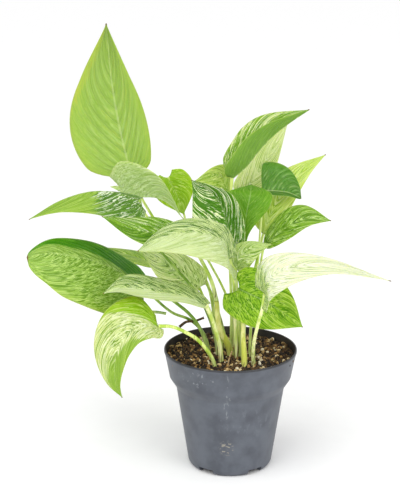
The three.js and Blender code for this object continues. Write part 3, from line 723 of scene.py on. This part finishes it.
def soil_finish():
    """Brown-black mix: each crumb has its own tone, from wet peat to tan bark and perlite"""
    finish = Finish("potting mix")
    tone = finish.attribute("tone").outputs["Fac"]
    grain = finish.noise(finish.place(), 700.0, 5.0, 0.7)
    ramp = finish.node("ShaderNodeValToRGB", {0: tone})
    stops = [
        (0.0, (14, 9, 5)),
        (0.4, (40, 28, 15)),
        (0.62, (108, 78, 42)),
        (0.78, (166, 128, 72)),
        (0.9, (216, 190, 134)),
        (1.0, (240, 230, 204)),
    ]
    elements = ramp.color_ramp.elements
    for index, (place, tint) in enumerate(stops):
        element = elements[index] if index < 2 else elements.new(place)
        element.position = place
        element.color = paint(*tint)
    shade = finish.plus(finish.times(grain, 0.9), 0.45)
    colour = finish.node("ShaderNodeMix", {0: 1.0, 6: ramp.outputs[0], 7: shade}, data_type="RGBA")
    colour.blend_type = "MULTIPLY"
    finish.set(base_color=colour.outputs[2], roughness=0.9)
    finish.bump(grain, 0.6, 0.0008)
    return finish.material


# ---------------------------------------------------------------- meshes


def add_piece(name, mesh, slot, *nodes):
    """Puts a finished mesh in the scene as a piece of the object and hides the CAD parts that it stands for.
    """
    mesh.name = name
    piece = bpy.data.objects.new(name, mesh)
    bpy.context.scene.collection.objects.link(piece)
    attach(piece, ROOT)
    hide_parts(*nodes)


def outward(mesh):
    """Makes a closed mesh's faces look outwards."""
    work = bmesh.new()
    work.from_mesh(mesh)
    bmesh.ops.recalc_face_normals(work, faces=work.faces)
    if work.calc_volume(signed=True) < 0:
        bmesh.ops.reverse_faces(work, faces=work.faces)
    work.to_mesh(mesh)
    work.free()


def store(mesh, name, values):
    attribute = mesh.attributes.new(name, "FLOAT_VECTOR", "POINT")
    attribute.data.foreach_set("vector", [number for value in values for number in value])


def lathe(profile, sides):
    """A closed mesh turned from a profile of (radius, height), and the profile's index for each face"""
    points, faces, bands = [], [], []
    for radius, height in profile:
        for side in range(sides):
            angle = side / sides * math.tau
            points.append((radius * math.cos(angle), radius * math.sin(angle), height))
    for band in range(len(profile) - 1):
        for side in range(sides):
            after = (side + 1) % sides
            low, high = band * sides, (band + 1) * sides
            faces.append((low + side, low + after, high + after, high + side))
            bands.append(band)
    faces.append(tuple(reversed(range(sides))))
    faces.append(tuple(range((len(profile) - 1) * sides, len(profile) * sides)))
    bands.extend([0, len(profile) - 2])
    mesh = bpy.data.meshes.new("turned")
    mesh.from_pydata(points, [], faces)
    return mesh, bands


def settle(guide, name):
    """The plain mesh that a guide object's modifier makes, with the guide taken away"""
    depsgraph = bpy.context.evaluated_depsgraph_get()
    evaluated = guide.evaluated_get(depsgraph)
    mesh = bpy.data.meshes.new_from_object(evaluated, depsgraph=depsgraph)
    guide.modifiers.clear()
    source = guide.data
    bpy.data.objects.remove(guide)
    if isinstance(source, bpy.types.Curve):
        bpy.data.curves.remove(source)
    else:
        bpy.data.meshes.remove(source)
    mesh.name = name
    return mesh


class Tree(Nodes):
    """A Geometry Nodes tree"""

    def __init__(self, name):
        super().__init__(bpy.data.node_groups.new(name, "GeometryNodeTree"))
        for way in ("INPUT", "OUTPUT"):
            self.tree.interface.new_socket("Geometry", in_out=way, socket_type="NodeSocketGeometry")
        self.start = self.tree.nodes.new("NodeGroupInput")
        self.end = self.tree.nodes.new("NodeGroupOutput")

    def given(self, name, kind, value, low=None, high=None):
        """A named input"""
        socket = self.tree.interface.new_socket(name, in_out="INPUT", socket_type=f"NodeSocket{kind}")
        if value is not None:
            socket.default_value = value
        if low is not None:
            socket.min_value, socket.max_value = low, high
        return self.start.outputs[name]

    def store(self, geometry, name, kind, value, domain="POINT"):
        settings = {"Geometry": geometry, "Name": name}
        made = self.node("GeometryNodeStoreNamedAttribute", settings, domain=domain, data_type=kind)
        self.feed(next(socket for socket in made.inputs if socket.name == "Value" and socket.enabled), value)
        return made.outputs[0]

    def finish(self, geometry, material):
        real = self.node("GeometryNodeRealizeInstances", {0: geometry}).outputs[0]
        painted = self.node("GeometryNodeSetMaterial", {"Geometry": real, "Material": material}).outputs[0]
        self.feed(self.end.inputs[0], painted)

    def apply(self, guide, **values):
        modifier = guide.modifiers.new(self.tree.name, "NODES")
        modifier.node_group = self.tree
        for item in self.tree.interface.items_tree:
            key = item.name.lower().replace(" ", "_")
            if item.in_out == "INPUT" and key in values:
                modifier[item.identifier] = values[key]


def stem_tree():
    """A stem along a curve: round, with a groove on one side, thicker at the foot, thinner above"""
    tree = Tree("Stem")
    radius = tree.given("Radius", "Float", 0.002, 0.0001, 0.02)
    groove = tree.given("Groove", "Float", 0.25, 0.0, 1.0)
    taper = tree.given("Taper", "Float", 0.25, 0.0, 1.0)
    widening = tree.given("Widening", "Float", 0.7, 0.0, 1.0)
    sides = tree.given("Sides", "Int", 16, 6, 64)
    material = tree.given("Material", "Material", None)
    along = tree.node("GeometryNodeSplineParameter").outputs["Factor"]
    guide = tree.store(tree.start.outputs["Geometry"], "along", "FLOAT", along)
    # Thinner on the way up, and wider again in the last tenth, where the leaf begins
    slim = tree.times(taper, tree.math("POWER", along, 0.6))
    knee = tree.times(taper, tree.math("POWER", along, 24.0))
    size = tree.plus(tree.minus(1.0, slim), tree.times(knee, widening))
    size = tree.times(size, radius)
    guide = tree.node("GeometryNodeSetCurveRadius", {"Curve": guide, "Radius": size}).outputs[0]
    circle = tree.node("GeometryNodeCurvePrimitiveCircle", {"Resolution": sides, "Radius": 1.0}).outputs[0]
    place = tree.node("GeometryNodeInputPosition").outputs[0]
    circle = tree.store(circle, "around", "FLOAT_VECTOR", place)
    facing = tree.node("ShaderNodeSeparateXYZ", {0: place}).outputs[0]
    dip = tree.node("ShaderNodeMapRange", {"Value": facing, "From Min": 0.55, "From Max": 1.0})
    dip.interpolation_type = "SMOOTHSTEP"
    inward = tree.times(tree.times(dip.outputs[0], groove), -1.0)
    offset = tree.node("ShaderNodeCombineXYZ", {0: inward}).outputs[0]
    circle = tree.node("GeometryNodeSetPosition", {"Geometry": circle, "Offset": offset}).outputs[0]
    settings = {"Curve": guide, "Profile Curve": circle, "Fill Caps": True}
    tube = tree.node("GeometryNodeCurveToMesh", settings)
    if "Scale" in tube.inputs:
        tree.feed(tube.inputs["Scale"], tree.node("GeometryNodeInputRadius").outputs[0])
    tree.finish(tube.outputs[0], material)
    return tree


def crumb_tree():
    """Crumbs, bark and perlite scattered over a surface, each with its own size, turn and tone"""
    tree = Tree("Crumbs")
    density = tree.given("Density", "Float", 300000.0, 0.0, 10000000.0)
    size = tree.given("Size", "Float", 0.0012, 0.0001, 0.01)
    seed = tree.given("Seed", "Int", 1, 0, 10000)
    darkest = tree.given("Darkest", "Float", 0.0, 0.0, 1.0)
    lightest = tree.given("Lightest", "Float", 1.0, 0.0, 1.0)
    detail = tree.given("Detail", "Int", 1, 1, 3)
    material = tree.given("Material", "Material", None)
    settings = {"Mesh": tree.start.outputs["Geometry"], "Density": density, "Seed": seed}
    points = tree.node("GeometryNodeDistributePointsOnFaces", settings).outputs["Points"]

    def chance(kind, low, high, shift):
        made = tree.node("FunctionNodeRandomValue", data_type=kind)
        enabled = [socket for socket in made.inputs if socket.enabled]
        for socket, value in zip(enabled, (low, high)):
            tree.feed(socket, value)
        tree.feed(made.inputs["Seed"], tree.plus(seed, shift))
        return next(socket for socket in made.outputs if socket.enabled)

    lump = tree.node("GeometryNodeMeshIcoSphere", {"Radius": size, "Subdivisions": detail}).outputs[0]
    turn = chance("FLOAT_VECTOR", (0.0, 0.0, 0.0), (math.tau, math.tau, math.tau), 11.0)
    squeeze = chance("FLOAT_VECTOR", (0.35, 0.3, 0.25), (1.5, 1.0, 0.8), 23.0)
    settings = {"Points": points, "Instance": lump, "Rotation": turn, "Scale": squeeze}
    lumps = tree.node("GeometryNodeInstanceOnPoints", settings).outputs[0]
    tone = chance("FLOAT", darkest, lightest, 37.0)
    tree.finish(tree.store(lumps, "tone", "FLOAT", tone, "INSTANCE"), material)
    return tree


def stem_mesh(name, points, radius, groove, taper, material, tree, step=STEM_STEP, widening=0.7):
    """A stem along smooth points, from a guide curve"""
    spline = Spline(points)
    count = max(int(spline.length() / step), 12)
    curve = bpy.data.curves.new(name, "CURVE")
    curve.dimensions = "3D"
    line = curve.splines.new("POLY")
    line.points.add(count)
    for index in range(count + 1):
        line.points[index].co = (*spline.at(index / count), 1)
    guide = bpy.data.objects.new(f"{name} guide", curve)
    bpy.context.scene.collection.objects.link(guide)
    inputs = {"groove": groove, "taper": taper, "widening": widening, "sides": STEM_SIDES}
    tree.apply(guide, radius=radius * MM, material=material, **inputs)
    mesh = settle(guide, name)
    outward(mesh)
    mesh.shade_smooth()
    return mesh


def leaf_mesh(name, sizes, settings):
    """A leaf blade: two skins that thin towards the edge, with a midrib and quilting between veins"""
    blade = Blade(name, sizes)
    rows, columns = settings.leaf_rows, settings.leaf_columns
    pairs = settings.vein_pairs
    points, blade_places, vein_places = [], [], []

    def across_of(column):
        even = 2 * column / columns - 1
        return math.copysign(abs(even) ** COLUMN_CROWDING, even)

    def surface(along, across):
        """The point, and the normal on the upper side"""
        nudge = 0.01
        ahead = blade.at(min(along + nudge, 1), across) - blade.at(max(along - nudge, 0), across)
        beside = blade.at(along, min(across + nudge, 1)) - blade.at(along, max(across - nudge, -1))
        return blade.at(along, across), beside.cross(ahead).normalized()

    for side in (0, 1):
        for row in range(rows + 1):
            along = row / rows
            for column in range(columns + 1):
                across = across_of(column)
                reach = abs(across)
                point, normal = surface(along, across)
                out = reach * blade.half_width(along, across)
                phase = along - settings.vein_sweep * reach**VEIN_CURVE
                thick = LEAF_THICKNESS * MM * (SKIN_SHARE - EDGE_THINNING * reach**3)
                wave = math.cos(phase * pairs * math.tau)
                wave *= settings.quilting * math.sin(math.pi * min(reach, 1)) * (1 - along) ** 0.5
                ripple = math.sin(along * EDGE_WAVES + blade.phase + (2 if across < 0 else 0))
                ripple *= settings.edge_wave * reach**2 * (1 - along) * min(along * 6, 1)
                lift = wave + ripple
                rib_radius = sizes["radius"] * MM * (RIB_SHARE - RIB_TAPER * along)
                if side == 0:
                    dip = CHANNEL_DEPTH * rib_radius * math.exp(-((out / rib_radius) ** 2))
                    lift += thick - dip
                else:
                    lift -= thick + rib_radius * math.exp(-((out / rib_radius) ** 2))
                points.append(point + normal * lift)
                blade_places.append((across, along, side))
                vein_places.append((phase * blade.length / CM, out / CM, phase * pairs))
    wide = columns + 1
    skin = (rows + 1) * wide
    faces = []
    for row in range(rows):
        for column in range(columns):
            corner = row * wide + column
            square = (corner, corner + 1, corner + wide + 1, corner + wide)
            faces.append(square)
            faces.append(tuple(index + skin for index in reversed(square)))
    edge = list(range(columns))
    edge += [row * wide + columns for row in range(rows)]
    edge += [rows * wide + column for column in range(columns, 0, -1)]
    edge += [row * wide for row in range(rows, 0, -1)]
    for here, after in zip(edge, edge[1:] + edge[:1]):
        faces.append((after, here, here + skin, after + skin))
    mesh = bpy.data.meshes.new(name)
    mesh.from_pydata(points, [], faces)
    store(mesh, "blade", blade_places)
    store(mesh, "veins", vein_places)
    outward(mesh)
    mesh.shade_smooth()
    return mesh


# ---------------------------------------------------------------- settings


class PothosSettings(bpy.types.PropertyGroup):
    """Sizes and amounts that a user may change"""

    leaf_rows: bpy.props.IntProperty(
        name="Leaf rows", description="Faces along each leaf", default=56, min=8, max=120
    )
    leaf_columns: bpy.props.IntProperty(
        name="Leaf columns", description="Faces across each leaf, an even number", default=32, min=4, max=80
    )
    vein_pairs: bpy.props.IntProperty(
        name="Vein pairs", description="Side veins on each half of a leaf", default=9, min=2, max=20
    )
    vein_sweep: bpy.props.FloatProperty(
        name="Vein sweep",
        description="How far side veins lean to the tip, in leaf lengths",
        default=0.55,
        min=0,
        max=2,
    )
    quilting: bpy.props.FloatProperty(
        name="Quilting",
        description="How far the blade swells between veins",
        default=0.00018,
        min=0,
        max=0.002,
        unit="LENGTH",
        subtype="DISTANCE",
    )
    edge_wave: bpy.props.FloatProperty(
        name="Edge wave",
        description="How far a leaf's edge waves up and down",
        default=0.0007,
        min=0,
        max=0.004,
        unit="LENGTH",
        subtype="DISTANCE",
    )
    pot_sides: bpy.props.IntProperty(
        name="Pot sides", description="Faces round the pot", default=144, min=24, max=360
    )
    crumb_size: bpy.props.FloatProperty(
        name="Crumb size",
        description="Radius of a usual crumb of soil",
        default=0.0011,
        min=0.0002,
        max=0.004,
        unit="LENGTH",
        subtype="DISTANCE",
    )
    crumb_density: bpy.props.FloatProperty(
        name="Crumb density",
        description="Crumbs to a square metre of soil",
        default=330000,
        min=0,
        max=3000000,
    )
    light_strength: bpy.props.FloatProperty(
        name="Key light", description="Power of the key light", default=9, min=0, max=500, unit="POWER"
    )
    sun_strength: bpy.props.FloatProperty(
        name="Soft sun", description="Strength of the even light from above", default=1.5, min=0, max=20
    )


# ---------------------------------------------------------------- operators


class POTHOS_OT_pot(bpy.types.Operator):
    """Build the nursery pot"""

    bl_idname = "pothos.pot"
    bl_label = "Pot"

    def execute(self, context):
        sides = context.scene.pothos.pot_sides
        base = BASE_SIDE[0]
        body, body_top = BODY_TOP
        collar, collar_low = COLLAR_LOW
        profile = [(CAP_RADIUS, 0), (base - BASE_INSET, 0)]
        for step in range(1, BASE_STEPS + 1):
            turn = step / BASE_STEPS * math.pi / 2
            inward = BASE_INSET * (1 - math.sin(turn))
            profile.append((base - inward, BASE_ROUNDING * (1 - math.cos(turn))))
        profile += [
            (body - 0.25 * MM, body_top - 1.6 * MM),
            (body + 0.15 * MM, body_top - 0.2 * MM),
            (body + 1.2 * MM, body_top + 1.2 * MM),
            (collar - 0.7 * MM, collar_low - 1.0 * MM),
            (collar + 0.05 * MM, collar_low + 0.3 * MM),
            (collar + 0.25 * MM, collar_low + 1.8 * MM),
            (RIM_RADIUS - 0.5 * MM, POT_HEIGHT - 3.0 * MM),
            (RIM_RADIUS, POT_HEIGHT - 2.2 * MM),
            (RIM_RADIUS, POT_HEIGHT - POT_LIP),
            (RIM_RADIUS - 0.3 * MM, POT_HEIGHT - 0.15 * MM),
            (RIM_RADIUS - POT_LIP, POT_HEIGHT),
            (RIM_RADIUS - 2 * POT_LIP, POT_HEIGHT - 0.3 * MM),
        ]
        outside = len(profile) - 2
        profile += [
            (RIM_RADIUS - POT_WALL - 0.3 * MM, POT_HEIGHT - 1.6 * MM),
            (collar - POT_WALL, collar_low),
            (body - POT_WALL, body_top),
            (base - POT_WALL, BASE_ROUNDING),
            (base - 3 * POT_WALL, POT_FLOOR),
            (CAP_RADIUS, POT_FLOOR),
        ]
        mesh, bands = lathe(profile, sides)
        mesh.materials.append(pot_finish("pot plastic", dark=False))
        mesh.materials.append(pot_finish("pot inside", dark=True))
        for face, band in zip(mesh.polygons, bands):
            face.material_index = 1 if band >= outside else 0
        guide = bpy.data.objects.new("pot guide", mesh)
        context.scene.collection.objects.link(guide)
        cutters = []
        for hole in range(DRAIN_COUNT):
            bpy.ops.mesh.primitive_cube_add(size=1)
            cutter = context.object
            turn = Matrix.Rotation(-math.pi / 2 + (hole + 0.5) / DRAIN_COUNT * math.tau, 4, "Z")
            size = Matrix.Diagonal((*DRAIN_CUTTER, 1))
            cutter.data.transform(turn @ Matrix.Translation((DRAIN_RADIUS, 0, 0)) @ size)
            cut = guide.modifiers.new("drain hole", "BOOLEAN")
            cut.object = cutter
            cut.solver = "EXACT"
            cutters.append(cutter)
        mesh = settle(guide, "pot")
        for cutter in cutters:
            bpy.data.meshes.remove(cutter.data)
        outward(mesh)
        mesh.shade_smooth()
        mesh.set_sharp_from_angle(angle=math.radians(38))
        add_piece("pot", mesh, "pot", "pot")
        return {"FINISHED"}


class POTHOS_OT_soil(bpy.types.Operator):
    """Fill the pot with potting mix and scatter crumbs, bark and perlite on it"""

    bl_idname = "pothos.soil"
    bl_label = "Soil"

    def execute(self, context):
        settings = context.scene.pothos
        finish = soil_finish()
        edge = SOIL_HIGH[0] - 0.2 * MM
        middle = 0.4 * MM
        profile = [(1 * MM, SOIL_LOW[2]), (34 * MM, SOIL_LOW[2]), (46 * MM, 76 * MM), (52 * MM, 85 * MM)]
        for ring in range(SOIL_RINGS + 1):
            profile.append((edge * (1 - ring / SOIL_RINGS) + middle * ring / SOIL_RINGS, SOIL_TOP))
        mesh, _ = lathe(profile, SOIL_SIDES)
        for vertex in mesh.vertices:
            if vertex.co.z > SOIL_TOP - MM:
                spot = Vector((vertex.co.x, vertex.co.y, 0))
                broad = noise.fractal(spot * 45, 0.8, 2, 3) * 1.3 * MM
                fine = noise.fractal(spot * 330 + Vector((5, 3, 1)), 0.7, 2, 4) * 0.8 * MM
                dome = SOIL_DOME * (1 - (spot.length / edge) ** 2)
                vertex.co.z += broad + fine + dome - SOIL_DOME
        mesh.materials.append(finish)
        tone = mesh.attributes.new("tone", "FLOAT", "POINT")
        tone.data.foreach_set(
            "value", [0.22 + 0.25 * noise.noise(vertex.co * 500) for vertex in mesh.vertices]
        )
        outward(mesh)
        body = bpy.data.objects.new("soil body", mesh)
        context.scene.collection.objects.link(body)
        work = bmesh.new()
        work.from_mesh(mesh)
        side_faces = [face for face in work.faces if face.calc_center_median().z < SOIL_TOP - 3 * MM]
        bmesh.ops.delete(work, geom=side_faces, context="FACES")
        top = bpy.data.meshes.new("soil surface")
        work.to_mesh(top)
        work.free()
        tree = crumb_tree()
        # Peat, bark, perlite and grit: share of the density, size, darkest and lightest tone, detail
        kinds = [
            (1.0, 1.0, 0.1, 0.68, 1),
            (0.2, 2.1, 0.2, 0.8, 2),
            (0.05, 2.2, 0.78, 1.0, 2),
            (0.38, 0.7, 0.3, 0.95, 1),
        ]
        parts = [body]
        for turn, (share, size, darkest, lightest, detail) in enumerate(kinds):
            guide = bpy.data.objects.new("crumb guide", top.copy())
            context.scene.collection.objects.link(guide)
            tree.apply(
                guide,
                density=settings.crumb_density * share,
                size=settings.crumb_size * size,
                seed=turn + 3,
                darkest=darkest,
                lightest=lightest,
                detail=detail,
                material=finish,
            )
            crumbs = bpy.data.objects.new("crumbs", settle(guide, "crumbs"))
            context.scene.collection.objects.link(crumbs)
            parts.append(crumbs)
        bpy.data.meshes.remove(top)
        chosen = {"active_object": body, "selected_editable_objects": parts, "selected_objects": parts}
        with context.temp_override(**chosen):
            bpy.ops.object.join()
        mesh = body.data
        bpy.data.objects.remove(body)
        add_piece("soil", mesh, "soil", "soil")
        return {"FINISHED"}


class POTHOS_OT_stems(bpy.types.Operator):
    """Grow the two vines, the petioles and the roots"""

    bl_idname = "pothos.stems"
    bl_label = "Vines, petioles and roots"

    def execute(self, context):
        tree = stem_tree()
        greens = {
            "light": stem_finish("petiole light green", (170, 200, 66), (222, 236, 140), 0.2),
            "white": stem_finish("petiole whitish", (194, 218, 98), (246, 248, 184), 0.2),
            "olive": stem_finish("petiole olive green", (112, 152, 34), (160, 190, 84), 0.15),
        }
        vine = stem_finish("vine sheath", (208, 214, 88), (250, 248, 166), 0.44)
        shades = {"near_white_right": "white", "pale_middle": "white", "small_front_left": "white"}
        shades |= {name: "olive" for name in ("back_left", "long_left", "dark_left", "heart_right")}
        for name, sizes in LEAVES.items():
            points = [*stem_points(sizes, "vine" not in sizes), in_plant(sizes["rib"][0])]
            finish = greens[shades.get(name, "light")]
            mesh = stem_mesh(name, points, sizes["radius"], 0.3, 0.28, finish, tree)
            add_piece(f"petiole_{name}", mesh, "petiole", f"petiole_{name}")
        for name, sizes in VINES.items():
            points = stem_points(sizes, True)
            mesh = stem_mesh(name, points, sizes["radius"], 0.3, 0.46, vine, tree, widening=0.0)
            add_piece(name, mesh, "vine", name)
        finishes = {
            "anchor_root": root_finish("tan root", (120, 92, 56), (206, 178, 128)),
            "dry_root": root_finish("dry root", (24, 17, 9), (110, 84, 40)),
            "runner_end": greens["olive"],
        }
        for name, sizes in ROOTS.items():
            points = stem_points(sizes, name == "anchor_root")
            mesh = stem_mesh(name, points, sizes["radius"], 0.1, 0.3, finishes[name], tree, ROOT_STEP)
            add_piece(name, mesh, "root", name)
        return {"FINISHED"}


class POTHOS_OT_leaves(bpy.types.Operator):
    """Grow the leaf blades"""

    bl_idname = "pothos.leaves"
    bl_label = "Leaves"

    def execute(self, context):
        settings = context.scene.pothos
        slots = {row["node"]: row["material_slot"] for row in frame["record"]["subparts"]}
        for seed, (name, sizes) in enumerate(LEAVES.items()):
            mesh = leaf_mesh(name, sizes, settings)
            mesh.materials.append(leaf_finish(name, MARBLING[name], seed))
            node = f"leaf_{name}"
            add_piece(node, mesh, slots[node], node)
        return {"FINISHED"}


class POTHOS_OT_stage(bpy.types.Operator):
    """Set up the floor, the lights and the camera"""

    bl_idname = "pothos.stage"
    bl_label = "Stage"

    def execute(self, context):
        scene = context.scene
        bpy.ops.mesh.primitive_plane_add(size=60)
        floor = context.object
        floor.name = "floor"
        floor.location.z = -0.2 * MM
        paper = Finish("floor paper")
        grain = paper.noise(paper.place(), 40.0, 3.0)
        paper.set(base_color=paper.mix(grain, paint(250, 250, 250), paint(246, 246, 246)), roughness=0.9)
        floor.data.materials.append(paper.material)
        world = bpy.data.worlds.new("studio")
        world.use_nodes = True
        background = world.node_tree.nodes["Background"]
        background.inputs["Color"].default_value = (1, 1, 1, 1)
        background.inputs["Strength"].default_value = 0.7
        scene.world = world
        scene.view_settings.view_transform = "Standard"
        strength = scene.pothos.light_strength
        data = bpy.data.lights.new("soft sun", "SUN")
        data.energy = scene.pothos.sun_strength
        data.angle = math.radians(70)
        sun = bpy.data.objects.new("soft sun", data)
        sun.rotation_euler = (math.radians(38), math.radians(-8), math.radians(-28))
        scene.collection.objects.link(sun)
        lights = [
            ("key light", (0.95, -1.0, 0.9), 0.9, strength),
            ("fill light", (-0.9, -1.2, 1.1), 1.2, strength * 0.45),
        ]
        for name, place, size, power in lights:
            data = bpy.data.lights.new(name, "AREA")
            data.size = size
            data.energy = power
            light = bpy.data.objects.new(name, data)
            light.location = place
            aim = Vector(LIGHTS_AIM) - light.location
            light.rotation_euler = aim.to_track_quat("-Z", "Y").to_euler()
            scene.collection.objects.link(light)
        data = bpy.data.cameras.new("camera")
        data.lens = CAMERA_LENS
        data.sensor_width = SENSOR_WIDTH
        data.clip_end = 100
        camera = bpy.data.objects.new("camera", data)
        camera.location = CAMERA_PLACE
        camera.rotation_euler = (math.radians(CAMERA_TILT), 0, 0)
        scene.collection.objects.link(camera)
        scene.camera = camera
        return {"FINISHED"}


class POTHOS_PT_panel(bpy.types.Panel):
    """Lists the pieces in the order they are built"""

    bl_idname = "POTHOS_PT_panel"
    bl_label = "Potted Pothos"
    bl_space_type = "VIEW_3D"
    bl_region_type = "UI"
    bl_category = "Pothos"

    def draw(self, context):
        layout = self.layout
        for name in PothosSettings.__annotations__:
            layout.prop(context.scene.pothos, name)
        for operator in OPERATORS:
            layout.operator(operator.bl_idname)


OPERATORS = (POTHOS_OT_pot, POTHOS_OT_soil, POTHOS_OT_stems, POTHOS_OT_leaves, POTHOS_OT_stage)
CLASSES = (PothosSettings, *OPERATORS, POTHOS_PT_panel)


def register():
    for made in CLASSES:
        bpy.utils.register_class(made)
    bpy.types.Scene.pothos = bpy.props.PointerProperty(type=PothosSettings)


def unregister():
    del bpy.types.Scene.pothos
    for made in reversed(CLASSES):
        bpy.utils.unregister_class(made)


def main():
    register()
    bpy.ops.pothos.pot()
    bpy.ops.pothos.soil()
    bpy.ops.pothos.stems()
    bpy.ops.pothos.leaves()
    bpy.ops.pothos.stage()


if __name__ == "__main__":
    main()
